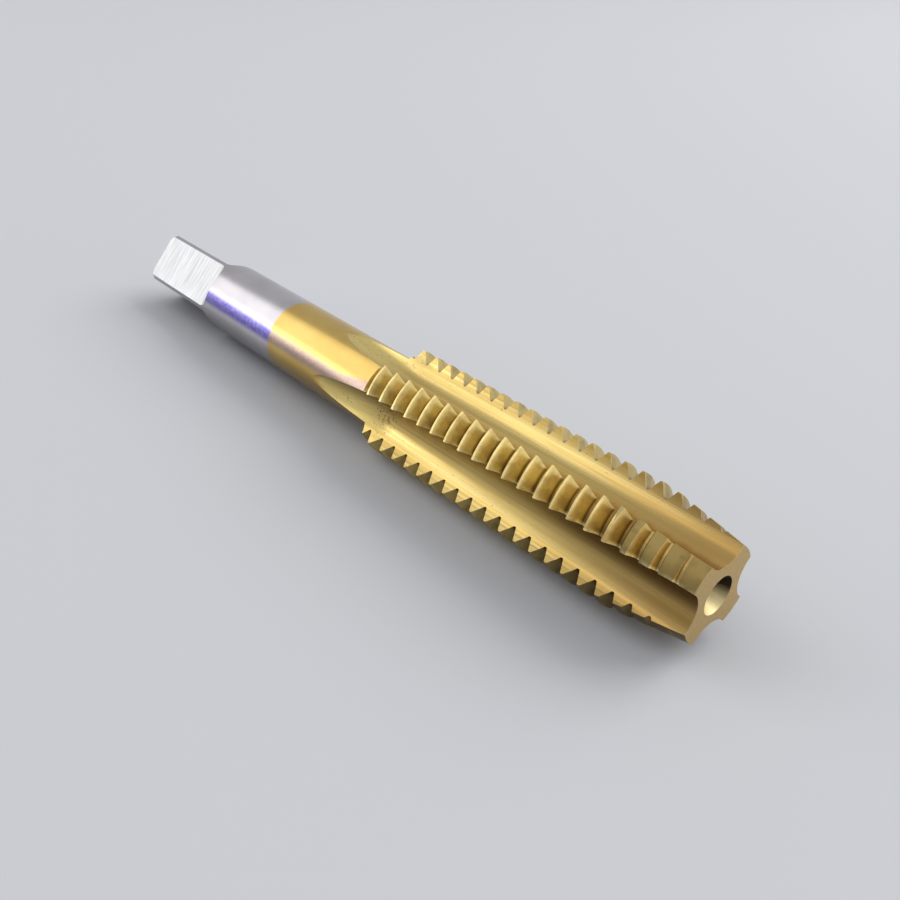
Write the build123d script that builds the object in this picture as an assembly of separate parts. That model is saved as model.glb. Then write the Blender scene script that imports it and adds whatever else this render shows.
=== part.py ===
"""Thread tap: a straight-flute plug hand tap, cut and ground from one bar of high-speed steel.

The tap is built upright on the Z axis with the face of its lead end at z = 0 and its shank
below, so that every groove and flute can be placed by a turn about Z and a slide along it.
It is laid down last, on two of its lands and the end of its shank.  Units: mm and degrees.
"""
import os
from math import acos, atan2, cos, degrees, hypot, radians, sin, tan

from build123d import *

# Lengths, measured back from the face of the lead end.
overall_len = 82.0
square_len = 12.0
shoulder_len = 38.7
flute_len = 47.0

# Round blank.
shank_dia = 8.2
shoulder_angle = 60.0
tail_round = 0.6

# Thread, 7/16 inch with 14 threads to the inch, right-handed.
major_dia = 11.11
thread_depth = 1.18
pitch = 25.4 / 14
flank_angle = 30.0
crest_flat = pitch / 8
groove_start_z = -0.505

# Flutes: the wheel's round form, how deep it goes, and the bend and ramp where it leaves the shank.
flute_count = 4
web_dia = 5.5
flute_floor_r = 2.6
flute_width_angle = 56.9
ramp_angle = 7.0
bend_r = 12.0

# Lead chamfer, ground on each land with its heel lower than its cutting edge.
point_dia = 8.66
chamfer_angle = 9.6
chamfer_relief = 0.2

# Driving square, and the corner radius of the wheel that leaves each flat's shoulder.
square_across_flats = 6.15
square_turn = 51.4
square_corner_r = 1.5

# Centre holes in the two ends.
centre_angle = 60.0
lead_centre_dia = 3.5
lead_pilot_dia = 1.5
lead_pilot_depth = 4.5
tail_centre_dia = 2.6
tail_pilot_dia = 1.2
tail_pilot_depth = 3.5

# Room that a cutter takes beyond the metal it removes.
clear = 1.0

major_r = major_dia / 2
root_r = major_r - thread_depth
shank_r = shank_dia / 2
web_r = web_dia / 2
flute_step = 360 / flute_count
land_half_angle = (flute_step - flute_width_angle) / 2


def blank():
    """The turned bar: a shank with a rounded end, and the thicker body that the thread is cut in."""
    bevel_len = (major_r - shank_r) / tan(radians(shoulder_angle))
    outline = make_face(
        Polyline(
            (0, -overall_len),
            (shank_r, -overall_len),
            (shank_r, -shoulder_len),
            (major_r, -shoulder_len + bevel_len),
            (major_r, 0),
            (0, 0),
            close=True,
        )
    )
    tail_corner = outline.vertices().sort_by(Axis.Y)[:2].sort_by(Axis.X)[-1]
    return revolve(Plane.XZ * fillet(tail_corner, tail_round), Axis.Z)


def flute_form():
    """The section of one flute, opening towards +X: a round floor with straight tangent sides."""
    centre_x = web_r + flute_floor_r
    half_width = radians(flute_width_angle / 2)
    edge_x = major_r * cos(half_width) - centre_x
    edge_y = major_r * sin(half_width)
    side_angle = atan2(edge_y, edge_x) + acos(flute_floor_r / hypot(edge_x, edge_y)) - radians(90)
    apex_x = centre_x - flute_floor_r / sin(side_angle)
    outer_x = major_r + clear
    outer_y = (outer_x - apex_x) * tan(side_angle)
    wedge = make_face(Polyline((apex_x, 0), (outer_x, outer_y), (outer_x, -outer_y), close=True))
    return fillet(wedge.vertices().sort_by(Axis.X)[0], flute_floor_r)


def flute():
    """One flute on the +X side: straight from the lead end, then up a ramp and out of the shank."""
    ramp = radians(ramp_angle)
    bend_height = bend_r * (1 - cos(ramp))
    ramp_reach = (shank_r - web_r - bend_height) / tan(ramp)
    bend_z = -(flute_len - ramp_reach - bend_r * sin(ramp))
    pivot_x = web_r + bend_r
    form = flute_form()
    straight = Pos(0, 0, bend_z) * extrude(form, clear - bend_z)
    bend = revolve(Pos(0, 0, bend_z) * form, Axis((pivot_x, 0, bend_z), (0, -1, 0)), ramp_angle)
    ramp_start = Pos(pivot_x, 0, bend_z) * Rot(0, -ramp_angle, 0) * Pos(-pivot_x, 0, 0) * form
    way_out = extrude(ramp_start, -(ramp_reach / cos(ramp) + clear))
    return [straight, bend, way_out]


def chamfer_cutter():
    """What the chamfer wheel removes from the land centred on +X.

    The wheel leaves a cone set off towards the cutting edge, so the land falls away to its heel.
    """
    half = radians(land_half_angle)
    offset = chamfer_relief / (2 * sin(half))
    point_r = point_dia / 2
    front_r = hypot(point_r * cos(half), point_r * sin(half) - offset)
    outer_r = major_r + clear
    slope = tan(radians(chamfer_angle))
    reach = (outer_r + offset - front_r) / slope
    middle = (clear - reach) / 2
    cone = Cone(front_r + reach * slope, front_r - clear * slope, reach + clear)
    side = Pos(outer_r / 2, middle) * Rectangle(outer_r, reach + clear)
    sector = revolve(Plane.XZ * side, Axis.Z, flute_step)
    return Rot(0, 0, -flute_step / 2) * sector - Pos(0, offset, middle) * cone


def groove_cutter():
    """The thread groove over one land: a 60 degree V with a flat root, on a true helix.

    It starts at angle 0 and z = 0 and ends in the next flute, so no two cutters meet.
    """
    arc = flute_step - 2 * clear
    flank = tan(radians(flank_angle))
    root_flat = pitch - crest_flat - 2 * (major_r - root_r) * flank
    outer_r = major_r + crest_flat / 2
    root_half = root_flat / 2
    outer_half = root_half + (outer_r - root_r) * flank
    section = make_face(
        Polyline(
            (root_r, -root_half),
            (outer_r, -outer_half),
            (outer_r, outer_half),
            (root_r, root_half),
            close=True,
        )
    )
    helix = Helix(pitch, pitch * arc / 360, root_r)
    return sweep(Plane.XZ * section, path=helix, is_frenet=True)


def thread_grooves():
    """Copies of the groove cutter, one for each land on each turn, from the shoulder forward."""
    cutter = groove_cutter()
    turns = range(-int(shoulder_len / pitch) - 1, 1)
    grooves = []
    for turn in turns:
        for land in range(flute_count):
            angle = land * flute_step + clear
            height = groove_start_z + pitch * (turn + angle / 360)
            grooves.append(Pos(0, 0, height) * Rot(0, 0, angle) * cutter)
    return grooves


def square_cutters():
    """The four blocks of metal beside the driving square, each run out over a round shoulder."""
    depth = shank_r + clear - square_across_flats / 2
    length = square_len + square_corner_r + clear
    block = Box(depth, 2 * (shank_r + clear), length)
    shoulder_edge = block.edges().filter_by(Axis.Y).group_by(Axis.Z)[-1].sort_by(Axis.X)[0]
    block = fillet(shoulder_edge, square_corner_r)
    block = Pos(square_across_flats / 2 + depth / 2, 0, -overall_len - clear + length / 2) * block
    return [Rot(0, 0, square_turn + 90 * side) * block for side in range(4)]


def centre_hole(mouth_dia, pilot_dia, pilot_depth):
    """A centre-drilled hole with its mouth at z = 0, going down."""
    mouth_depth = (mouth_dia - pilot_dia) / 2 / tan(radians(centre_angle / 2))
    tip_depth = pilot_dia / 2 / tan(radians(59))
    outline = Polyline(
        (0, 0),
        (mouth_dia / 2, 0),
        (pilot_dia / 2, -mouth_depth),
        (pilot_dia / 2, -pilot_depth),
        (0, -pilot_depth - tip_depth),
        close=True,
    )
    return revolve(Plane.XZ * make_face(outline), Axis.Z)


def thread_tap():
    """The whole tap, upright, with the face of its lead end at z = 0."""
    tap = blank()
    for side in range(flute_count):
        turn = Rot(0, 0, side * flute_step)
        tap -= [turn * piece for piece in flute()]
        tap -= Rot(0, 0, flute_step / 2) * turn * chamfer_cutter()
    tap -= square_cutters()
    tap -= centre_hole(lead_centre_dia, lead_pilot_dia, lead_pilot_depth)
    tail_hole = centre_hole(tail_centre_dia, tail_pilot_dia, tail_pilot_depth)
    tap -= Pos(0, 0, -overall_len) * Rot(180, 0, 0) * tail_hole
    tap -= thread_grooves()
    return tap


def laid_down(tap):
    """The tap at rest: a flute underneath, the rear of the thread and the tail on z = 0."""
    lying = Plane(origin=(0, 0, 0), x_dir=(0, 1, 0), z_dir=(1, 0, 0)).location * tap
    thread_drop = major_r * cos(radians(flute_width_angle / 2)) - shank_r
    tail_span = overall_len - tail_round - shoulder_len + pitch
    lying = Rot(0, -degrees(atan2(thread_drop, tail_span)), 0) * lying
    box = lying.bounding_box()
    return Pos(-box.center().X, -box.center().Y, -box.min.Z) * lying


os.makedirs("parts", exist_ok=True)
export_step(laid_down(thread_tap()), "parts/thread_tap.step")
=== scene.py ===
import math

import bpy
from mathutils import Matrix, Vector

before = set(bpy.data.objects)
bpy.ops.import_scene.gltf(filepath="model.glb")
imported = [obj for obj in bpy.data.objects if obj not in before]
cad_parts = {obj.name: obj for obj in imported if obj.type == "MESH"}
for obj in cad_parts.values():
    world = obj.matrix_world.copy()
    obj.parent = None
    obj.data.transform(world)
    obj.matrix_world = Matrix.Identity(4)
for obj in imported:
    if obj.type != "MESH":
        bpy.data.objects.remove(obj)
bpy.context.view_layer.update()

# Thread tap: turned from one bar of high-speed steel, hardened, then ground all over. The
# thread, flutes and front of the shank are coated with gold titanium nitride, which stops at a
# clean line round the shank. Behind that line the shank and its driving square are bare steel.
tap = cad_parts["thread_tap"]
mm = 0.001

# Where the middle of its lead face is and how much its axis rises towards it. Then its sizes
# in millimetres, with lengths measured back from the lead face.
lead_centre = Vector((40.9911, -0.0096, 5.5668)) * mm
axis_rise = math.radians(1.0092)
thread_len = 38.9
coated_len = 55.5
square_start = 68.3
shank_r = 4.1
root_r = 4.375
major_r = 5.555
hole_r = 1.75


def add_node(tree, kind, settings, links):
    """Add a shader node, set its properties or sockets, and link its inputs.

    A link comes from a socket, or from a node, whose first output in use is then taken.
    """
    node = tree.nodes.new(kind)
    for name, value in settings.items():
        if isinstance(name, str) and hasattr(node, name):
            setattr(node, name, value)
        else:
            node.inputs[name].default_value = value
    for name, source in links.items():
        if hasattr(source, "outputs"):
            source = next(output for output in source.outputs if output.enabled)
        tree.links.new(source, node.inputs[name])
    return node


def linear(hex_colour):
    """An sRGB hex colour as the linear RGBA that a shader takes."""
    channels = [int(hex_colour[i : i + 2], 16) / 255 for i in (1, 3, 5)]
    return (*[c / 12.92 if c <= 0.04045 else ((c + 0.055) / 1.055) ** 2.4 for c in channels], 1.0)


# Ground high-speed steel, titanium nitride coated: a metal all over, matt gold on the thread,
# streaked along the flutes by the wheel, and glossy on the round shank.
finish = bpy.data.materials.new("ground_steel_titanium_nitride_coated")
finish.use_nodes = True
tree = finish.node_tree
tree.nodes.clear()

# The tap's own frame, in millimetres: X is 0 at the lead face and falls towards the tail.
place = add_node(tree, "ShaderNodeTexCoord", {}, {})
own = add_node(
    tree,
    "ShaderNodeMapping",
    {
        "vector_type": "TEXTURE",
        "Location": lead_centre,
        "Rotation": (0, -axis_rise, 0),
        "Scale": (mm, mm, mm),
    },
    {"Vector": place.outputs["Object"]},
)
own_xyz = add_node(tree, "ShaderNodeSeparateXYZ", {}, {"Vector": own})
along = own_xyz.outputs["X"]
across = add_node(
    tree, "ShaderNodeVectorMath", {"operation": "MULTIPLY", 1: (0, 1, 1)}, {0: own}
)
radius = add_node(tree, "ShaderNodeVectorMath", {"operation": "LENGTH"}, {0: across})
outward = add_node(tree, "ShaderNodeVectorMath", {"operation": "NORMALIZE"}, {0: across})

# The angle round the axis, from +Y towards +Z, over a full turn and within each quarter of it.
angle = add_node(
    tree,
    "ShaderNodeMath",
    {"operation": "ARCTAN2"},
    {0: own_xyz.outputs["Z"], 1: own_xyz.outputs["Y"]},
)
quarter_turn = add_node(
    tree, "ShaderNodeMath", {"operation": "WRAP", 1: math.pi / 2, 2: 0.0}, {0: angle}
)

# How squarely the surface faces outwards, along the axis, and the side that has lain low.
normal = place.outputs["Normal"]
axis = (math.cos(axis_rise), 0, math.sin(axis_rise))
low_side = (0, -0.5, -0.87)
facing_out = add_node(
    tree, "ShaderNodeVectorMath", {"operation": "DOT_PRODUCT"}, {0: outward, 1: normal}
)
facing_end = add_node(
    tree, "ShaderNodeVectorMath", {"operation": "DOT_PRODUCT", 1: axis}, {0: normal}
)
steepness = add_node(tree, "ShaderNodeMath", {"operation": "ABSOLUTE"}, {0: facing_end})
facing_low = add_node(
    tree, "ShaderNodeVectorMath", {"operation": "DOT_PRODUCT", 1: low_side}, {0: normal}
)

# Where each finish lies: 1 on it and 0 off it, with a narrow fade between.
coating_fade = 0.08
shoulder_fade = 0.02
square_fade = 0.1
is_coated = add_node(
    tree,
    "ShaderNodeMapRange",
    {"From Min": -coated_len - coating_fade, "From Max": -coated_len + coating_fade},
    {"Value": along},
)
is_body = add_node(
    tree,
    "ShaderNodeMapRange",
    {"From Min": -thread_len - shoulder_fade, "From Max": -thread_len + shoulder_fade},
    {"Value": along},
)
is_flank = add_node(
    tree, "ShaderNodeMapRange", {"From Min": 0.3, "From Max": 0.5}, {"Value": steepness}
)
is_round = add_node(
    tree, "ShaderNodeMapRange", {"From Min": 0.86, "From Max": 0.93}, {"Value": facing_out}
)
is_outer = add_node(
    tree,
    "ShaderNodeMapRange",
    {"From Min": shank_r - 0.12, "From Max": shank_r - 0.04},
    {"Value": radius},
)
is_turned = add_node(tree, "ShaderNodeMath", {"operation": "MULTIPLY"}, {0: is_round, 1: is_outer})
is_tooth = add_node(tree, "ShaderNodeMath", {"operation": "MAXIMUM"}, {0: is_flank, 1: is_turned})
not_tooth = add_node(tree, "ShaderNodeMath", {"operation": "SUBTRACT", 0: 1.0}, {1: is_tooth})
is_thread = add_node(tree, "ShaderNodeMath", {"operation": "MULTIPLY"}, {0: is_tooth, 1: is_body})
is_flute = add_node(
    tree, "ShaderNodeMath", {"operation": "MULTIPLY"}, {0: not_tooth, 1: is_coated}
)
is_face = add_node(
    tree, "ShaderNodeMapRange", {"From Min": -0.06, "From Max": -0.03}, {"Value": along}
)
in_hole = add_node(
    tree,
    "ShaderNodeMapRange",
    {"From Min": hole_r + 0.05, "From Max": hole_r - 0.03},
    {"Value": radius},
)
is_square = add_node(
    tree,
    "ShaderNodeMapRange",
    {"From Min": -square_start + square_fade, "From Max": -square_start - square_fade},
    {"Value": along},
)
is_milled = add_node(
    tree,
    "ShaderNodeMapRange",
    {"From Min": shank_r - 0.02, "From Max": shank_r - 0.06},
    {"Value": radius},
)
is_flat = add_node(tree, "ShaderNodeMath", {"operation": "MULTIPLY"}, {0: is_square, 1: is_milled})

# Shank: bare steel, or steel coated with titanium nitride, both ground round and a little
# uneven from place to place as the furnace left them.
patch_size = 5.0
patches = add_node(
    tree,
    "ShaderNodeTexNoise",
    {"Scale": 1 / patch_size, "Detail": 3.0, "Roughness": 0.55},
    {"Vector": own},
)
patch_range = add_node(
    tree, "ShaderNodeMapRange", {"From Min": 0.35, "From Max": 0.65}, {"Value": patches}
)
shank_gold = add_node(
    tree,
    "ShaderNodeMix",
    {"data_type": "RGBA", "A": linear("#d0ac5e"), "B": linear("#dab96c")},
    {"Factor": patch_range},
)
shank_steel = add_node(
    tree,
    "ShaderNodeMix",
    {"data_type": "RGBA", "A": linear("#bcb7b9"), "B": linear("#c8c4c6")},
    {"Factor": patch_range},
)

# A painted violet reflection runs in a mottled band along one side of the shank. The band widens
# towards the thread, and it is fainter where the coating covers it.
reflection_angle = math.radians(161)
reflection_inner = math.radians(6)
reflection_outer = math.radians(13)
mottle_grain = 0.35
widening = math.radians(9)
widening_start = 43.0
widening_end = 39.5
from_band = add_node(
    tree, "ShaderNodeMath", {"operation": "SUBTRACT", 1: reflection_angle}, {0: angle}
)
off_band = add_node(tree, "ShaderNodeMath", {"operation": "ABSOLUTE"}, {0: from_band})
extra_width = add_node(
    tree,
    "ShaderNodeMapRange",
    {"From Min": -widening_start, "From Max": -widening_end, "To Max": widening},
    {"Value": along},
)
from_reflection = add_node(
    tree, "ShaderNodeMath", {"operation": "SUBTRACT"}, {0: off_band, 1: extra_width}
)
in_band = add_node(
    tree,
    "ShaderNodeMapRange",
    {"From Min": reflection_outer, "From Max": reflection_inner},
    {"Value": from_reflection},
)
mottle_noise = add_node(
    tree,
    "ShaderNodeTexNoise",
    {"Scale": 1 / mottle_grain, "Detail": 3.0, "Roughness": 0.7},
    {"Vector": own},
)
mottle_range = add_node(
    tree,
    "ShaderNodeMapRange",
    {"From Min": 0.3, "From Max": 0.6, "To Min": 0.65},
    {"Value": mottle_noise},
)
# Painted violet reflection: full strength on the bare steel, 0.7 of it on the gold.
violet_reflection = add_node(tree, "ShaderNodeMath", {"operation": "MULTIPLY"}, {0: in_band, 1: mottle_range})
gold_violet_reflection = add_node(tree, "ShaderNodeMath", {"operation": "MULTIPLY", 1: 0.7}, {0: violet_reflection})
shank_steel = add_node(
    tree,
    "ShaderNodeMix",
    {"data_type": "RGBA", "B": linear("#6c61b4")},
    {"Factor": violet_reflection, "A": shank_steel},
)
shank_gold = add_node(
    tree,
    "ShaderNodeMix",
    {"data_type": "RGBA", "B": linear("#857a94")},
    {"Factor": gold_violet_reflection, "A": shank_gold},
)

# Flutes: the wheel ran lengthwise and left lines along them. Real ones are under 0.1 mm apart;
# they are drawn 0.15 to 0.6 mm apart, so that they show.
line_gap = 0.6
lengthwise = add_node(
    tree, "ShaderNodeVectorMath", {"operation": "MULTIPLY", 1: (0.02, 1, 1)}, {0: own}
)
wheel_lines = add_node(
    tree,
    "ShaderNodeTexNoise",
    {"Scale": 1 / line_gap, "Detail": 4.0, "Roughness": 0.7},
    {"Vector": lengthwise},
)
line_range = add_node(
    tree, "ShaderNodeMapRange", {"From Min": 0.3, "From Max": 0.7}, {"Value": wheel_lines}
)
flute_gold = add_node(
    tree,
    "ShaderNodeMix",
    {"data_type": "RGBA", "A": linear("#c6a559"), "B": linear("#e6cd86")},
    {"Factor": line_range},
)

# Their coating is painted brighter where they run out, as a painted highlight, and browned over
# the last 17 mm before the lead end, partly as a stain and partly as a painted dark reflection.
highlight_start = 36.0
highlight_end = 41.0
brown_start = 17.0
brown_end = 3.0
runout_highlight = add_node(
    tree,
    "ShaderNodeMapRange",
    {"From Min": -highlight_start, "From Max": -highlight_end, "To Max": 0.55},
    {"Value": along},
)
# Brown towards the lead end: part stain, part painted dark reflection.
brown_stain_and_reflection = add_node(
    tree,
    "ShaderNodeMapRange",
    {"From Min": -brown_start, "From Max": -brown_end, "To Max": 0.55},
    {"Value": along},
)

# Specks of dried oil and dirt lie in them, thickest near their rear ends and in one patch.
speck_size = 0.4
most_specks = 44.0
fewest_specks = 22.0
dirt_place = (-36.2, -3.0, 0.4)
dirt_r = 3.0
speck_noise = add_node(
    tree,
    "ShaderNodeTexNoise",
    {"Scale": 1 / speck_size, "Detail": 4.0, "Roughness": 0.75},
    {"Vector": own},
)
speck_limit = add_node(
    tree,
    "ShaderNodeMapRange",
    {"From Min": -most_specks, "From Max": -fewest_specks, "To Min": 0.61, "To Max": 0.67},
    {"Value": along},
)
from_dirt = add_node(
    tree, "ShaderNodeVectorMath", {"operation": "DISTANCE", 1: dirt_place}, {0: own}
)
dirt_patch = add_node(
    tree,
    "ShaderNodeMapRange",
    {"From Min": dirt_r, "From Max": 0.8, "To Max": 0.1},
    {"Value": from_dirt},
)
speck_height = add_node(
    tree, "ShaderNodeMath", {"operation": "ADD"}, {0: speck_noise, 1: dirt_patch}
)
over_limit = add_node(
    tree, "ShaderNodeMath", {"operation": "SUBTRACT"}, {0: speck_height, 1: speck_limit}
)
specks = add_node(
    tree,
    "ShaderNodeMapRange",
    {"From Min": 0.0, "From Max": 0.04, "To Max": 0.65},
    {"Value": over_limit},
)
# Over the flutes: the painted highlight at the run-out, the brown stain with its painted dark
# reflection, then the specks.
for amount, colour in ((runout_highlight, "#f4de8e"), (brown_stain_and_reflection, "#a97c42"), (specks, "#5d4825")):
    flute_gold = add_node(
        tree,
        "ShaderNodeMix",
        {"data_type": "RGBA", "B": linear(colour)},
        {"Factor": amount, "A": flute_gold},
    )

# Thread: matt and paler where the flanks were ground, and darkened towards the root with painted
# shade, though not among the chamfered teeth at the front.
unshaded_start = 7.0
unshaded_end = 5.0
from_root = add_node(
    tree,
    "ShaderNodeMapRange",
    {"From Min": root_r - 0.02, "From Max": root_r + 0.25},
    {"Value": radius},
)
on_lead = add_node(
    tree,
    "ShaderNodeMapRange",
    {"From Min": -unshaded_start, "From Max": -unshaded_end},
    {"Value": along},
)
root_unshaded = add_node(tree, "ShaderNodeMath", {"operation": "MAXIMUM"}, {0: from_root, 1: on_lead})
thread_gold = add_node(
    tree,
    "ShaderNodeMix",
    {"data_type": "RGBA", "A": linear("#8c6d36"), "B": linear("#dcc47e")},
    {"Factor": root_unshaded},
)

# Dark patches on its flanks are a painted dark reflection. It is paler at its crests, and over the
# last 4 degrees of each land, up to the cutting edge at 61 degrees in each quarter turn, where it
# is both rubbed by wear and painted with a glint.
dark_patch_size = 1.5
wear_glint_size = 0.9
cutting_edge = math.radians(61.0)
wear_glint_width = math.radians(4.0)
dark_patch_noise = add_node(
    tree,
    "ShaderNodeTexNoise",
    {"Scale": 1 / dark_patch_size, "Detail": 3.0, "Roughness": 0.6},
    {"Vector": own},
)
painted_flank_reflection = add_node(
    tree,
    "ShaderNodeMapRange",
    {"From Min": 0.45, "From Max": 0.65, "To Max": 0.42},
    {"Value": dark_patch_noise},
)
near_crest = add_node(
    tree,
    "ShaderNodeMapRange",
    {"From Min": major_r - 0.2, "From Max": major_r - 0.04, "To Max": 0.4},
    {"Value": radius},
)
near_edge = add_node(
    tree,
    "ShaderNodeMapRange",
    {"From Min": cutting_edge - wear_glint_width, "From Max": cutting_edge},
    {"Value": quarter_turn},
)
# Pale crests and cutting edges: part rubbed wear, part painted glint.
rubbed_and_glinting = add_node(tree, "ShaderNodeMath", {"operation": "MAXIMUM"}, {0: near_crest, 1: near_edge})
wear_glint_noise = add_node(
    tree,
    "ShaderNodeTexNoise",
    {"Scale": 1 / wear_glint_size, "Detail": 2.0, "Roughness": 0.6},
    {"Vector": own},
)
wear_glint_range = add_node(
    tree, "ShaderNodeMapRange", {"From Min": 0.38, "From Max": 0.58}, {"Value": wear_glint_noise}
)
wear_and_glint = add_node(tree, "ShaderNodeMath", {"operation": "MULTIPLY"}, {0: rubbed_and_glinting, 1: wear_glint_range})
# Over the thread: brown stain with painted dark reflection, painted dark reflection in patches,
# then wear with a painted glint.
for amount, colour in ((brown_stain_and_reflection, "#96733c"), (painted_flank_reflection, "#80623c"), (wear_and_glint, "#eedaa0")):
    thread_gold = add_node(
        tree,
        "ShaderNodeMix",
        {"data_type": "RGBA", "B": linear(colour)},
        {"Factor": amount, "A": thread_gold},
    )

# Lead end: a mottled face, then a centre hole that is ground bright, with the side of its cone
# that faces down painted near black as shade.
face_gold = add_node(
    tree,
    "ShaderNodeMix",
    {"data_type": "RGBA", "A": linear("#a98b52"), "B": linear("#d2b57a")},
    {"Factor": mottle_range},
)
hole_side = add_node(
    tree,
    "ShaderNodeMapRange",
    {"From Min": -0.2, "From Max": 0.35, "To Max": 0.96},
    {"Value": facing_low},
)
hole_painted_shade = add_node(
    tree, "ShaderNodeMath", {"operation": "MULTIPLY"}, {0: in_hole, 1: hole_side}
)

# All that is coated: the shank's gold, then each other place's own over it.
coating = shank_gold
for mask, gold in ((is_flute, flute_gold), (is_thread, thread_gold), (is_face, face_gold)):
    coating = add_node(
        tree, "ShaderNodeMix", {"data_type": "RGBA"}, {"Factor": mask, "A": coating, "B": gold}
    )
# Over the coating: the hole's pale colour, then its painted shade.
for mask, colour in ((in_hole, "#f3e2ae"), (hole_painted_shade, "#332307")):
    coating = add_node(
        tree,
        "ShaderNodeMix",
        {"data_type": "RGBA", "B": linear(colour)},
        {"Factor": mask, "A": coating},
    )

# Square: milled, with the cutter's marks straight across each flat. They are drawn 0.2 mm
# apart, so that they show.
mark_gap = 0.2
crosswise = add_node(
    tree, "ShaderNodeVectorMath", {"operation": "MULTIPLY", 1: (1, 0.06, 0.06)}, {0: own}
)
cutter_marks = add_node(
    tree,
    "ShaderNodeTexNoise",
    {"Scale": 1 / mark_gap, "Detail": 2.0, "Roughness": 0.6},
    {"Vector": crosswise},
)
mark_range = add_node(
    tree, "ShaderNodeMapRange", {"From Min": 0.35, "From Max": 0.65}, {"Value": cutter_marks}
)
milled_steel = add_node(
    tree,
    "ShaderNodeMix",
    {"data_type": "RGBA", "A": linear("#bdbcbd"), "B": linear("#d6d6d6")},
    {"Factor": mark_range},
)
bare_steel = add_node(
    tree,
    "ShaderNodeMix",
    {"data_type": "RGBA"},
    {"Factor": is_flat, "A": shank_steel, "B": milled_steel},
)
clean_colour = add_node(
    tree,
    "ShaderNodeMix",
    {"data_type": "RGBA"},
    {"Factor": is_coated, "A": bare_steel, "B": coating},
)

# The side that faces down is darkened all along with painted shade, darker at the front.
front_shade_start = 25.0
front_shade_end = 12.0
underside_shade = add_node(
    tree,
    "ShaderNodeMapRange",
    {"From Min": 0.45, "From Max": 1.0, "To Max": 0.7},
    {"Value": facing_low},
)
at_front = add_node(
    tree,
    "ShaderNodeMapRange",
    {"From Min": -front_shade_start, "From Max": -front_shade_end, "To Max": 0.8},
    {"Value": along},
)
low_front = add_node(
    tree, "ShaderNodeMapRange", {"From Min": 0.1, "From Max": 0.7}, {"Value": facing_low}
)
front_underside_shade = add_node(
    tree, "ShaderNodeMath", {"operation": "MULTIPLY"}, {0: at_front, 1: low_front}
)
painted_underside_shade = add_node(tree, "ShaderNodeMath", {"operation": "MAXIMUM"}, {0: underside_shade, 1: front_underside_shade})
# Painted shade multiplies into the colour on the down-facing side.
base_colour = add_node(
    tree,
    "ShaderNodeMix",
    {"data_type": "RGBA", "blend_type": "MULTIPLY", "B": linear("#6b6058")},
    {"Factor": painted_underside_shade, "A": clean_colour},
)

# Gloss: the round shank is fine-ground, the flutes are streaked, and the thread, the flats, the
# lead face and the hole are each more matt than the shank.
flute_rough = add_node(
    tree,
    "ShaderNodeMapRange",
    {"From Min": 0.3, "From Max": 0.7, "To Min": 0.38, "To Max": 0.24},
    {"Value": wheel_lines},
)
roughness = add_node(
    tree,
    "ShaderNodeMix",
    {"data_type": "FLOAT", "A": 0.25},
    {"Factor": is_flute, "B": flute_rough},
)
for mask, rough in ((is_thread, 0.36), (is_face, 0.45), (in_hole, 0.6), (is_flat, 0.4)):
    roughness = add_node(
        tree,
        "ShaderNodeMix",
        {"data_type": "FLOAT", "B": rough},
        {"Factor": mask, "A": roughness},
    )

# The wheel's lines and the cutter's marks also have a little depth.
ridge_height = 0.03 * mm
flute_ridges = add_node(
    tree, "ShaderNodeMath", {"operation": "MULTIPLY"}, {0: wheel_lines, 1: is_flute}
)
flat_ridges = add_node(
    tree, "ShaderNodeMath", {"operation": "MULTIPLY"}, {0: cutter_marks, 1: is_flat}
)
ridges = add_node(
    tree, "ShaderNodeMath", {"operation": "ADD"}, {0: flute_ridges, 1: flat_ridges}
)
relief = add_node(
    tree, "ShaderNodeBump", {"Strength": 0.5, "Distance": ridge_height}, {"Height": ridges}
)
shader = add_node(
    tree,
    "ShaderNodeBsdfPrincipled",
    {"Metallic": 1.0},
    {"Base Color": base_colour, "Roughness": roughness, "Normal": relief},
)
add_node(tree, "ShaderNodeOutputMaterial", {}, {"Surface": shader})
tap.data.materials.clear()
tap.data.materials.append(finish)

# Floor: a plain sheet of pale grey card under the tap, matt, with no pattern of its own.
floor_width = 6.0
bpy.ops.object.select_all(action="DESELECT")
bpy.ops.mesh.primitive_plane_add(size=floor_width, location=(0, 0, 0))
floor = bpy.context.object
floor.name = "floor"
card = bpy.data.materials.new("pale_grey_card")
card.use_nodes = True
card_shader = card.node_tree.nodes["Principled BSDF"]
card_shader.inputs["Base Color"].default_value = linear("#cdced1")
card_shader.inputs["Roughness"].default_value = 0.9
floor.data.materials.append(card)

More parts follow.
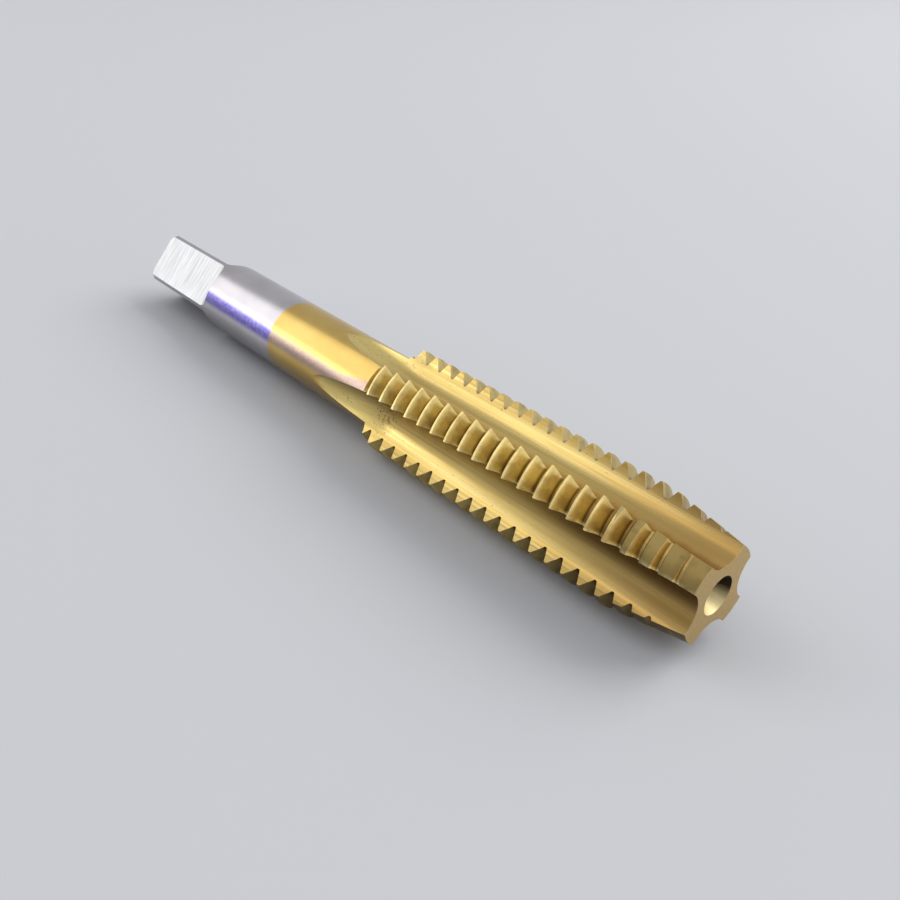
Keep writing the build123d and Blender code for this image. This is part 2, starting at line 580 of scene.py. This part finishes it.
# Studio: a pale surround with one dim side, in front of the tap, which gives its polished metal
# something darker to mirror.
dim_side = (0.34, -0.94, 0.0)
world = bpy.data.worlds.new("studio")
bpy.context.scene.world = world
world.use_nodes = True
surround = world.node_tree.nodes["Background"]
sky = add_node(world.node_tree, "ShaderNodeTexCoord", {}, {})
toward_dim = add_node(
    world.node_tree,
    "ShaderNodeVectorMath",
    {"operation": "DOT_PRODUCT", 1: dim_side},
    {0: sky.outputs["Generated"]},
)
dimming = add_node(
    world.node_tree,
    "ShaderNodeMapRange",
    {"From Min": 0.45, "From Max": 0.8},
    {"Value": toward_dim},
)
shade = add_node(
    world.node_tree,
    "ShaderNodeMix",
    {"data_type": "RGBA", "A": linear("#c6c8cc"), "B": linear("#787a7f")},
    {"Factor": dimming},
)
world.node_tree.links.new(shade.outputs["Result"], surround.inputs["Color"])

# Lamps: a broad key behind the tap that throws its shadow forward, a tall window to the left, a
# small strip low beside it that draws the bright line on the shank, and one off the lead end.
lamps = [
    # name, azimuth and elevation in degrees, distance, width and height in metres, brightness
    ("key", 68, 41, 0.9, 0.7, 0.6, 3.4),
    ("window", -151, 36, 0.9, 0.6, 0.92, 1.15),
    ("strip", -136, 10.5, 0.6, 0.22, 0.2, 1.8),
    ("front", 8, 14, 0.5, 0.3, 0.2, 0.9),
]
for name, azimuth, elevation, distance, width, height, brightness in lamps:
    data = bpy.data.lights.new(name, "AREA")
    data.shape = "RECTANGLE"
    data.size = width
    data.size_y = height
    data.energy = brightness * math.pi * width * height
    lamp = bpy.data.objects.new(name, data)
    bpy.context.scene.collection.objects.link(lamp)
    flat_reach = math.cos(math.radians(elevation))
    direction = Vector(
        (
            flat_reach * math.cos(math.radians(azimuth)),
            flat_reach * math.sin(math.radians(azimuth)),
            math.sin(math.radians(elevation)),
        )
    )
    lamp.location = direction * distance
    lamp.rotation_euler = direction.to_track_quat("Z", "Y").to_euler()
    lamp.visible_camera = False

# Camera: held over the lead end, looking down the tap towards its square.
camera_place = Vector((65.568, -54.267, 51.912)) * mm
camera_turns = (57.48, -4.125, 47.867)
camera_data = bpy.data.cameras.new("camera")
camera_data.sensor_width = 36
camera_data.lens = 37.858
camera_data.clip_start = 1 * mm
camera_data.clip_end = 20
camera = bpy.data.objects.new("camera", camera_data)
camera.location = camera_place
camera.rotation_euler = [math.radians(turn) for turn in camera_turns]
bpy.context.scene.collection.objects.link(camera)
bpy.context.scene.camera = camera
bpy.context.scene.view_settings.view_transform = "Standard"
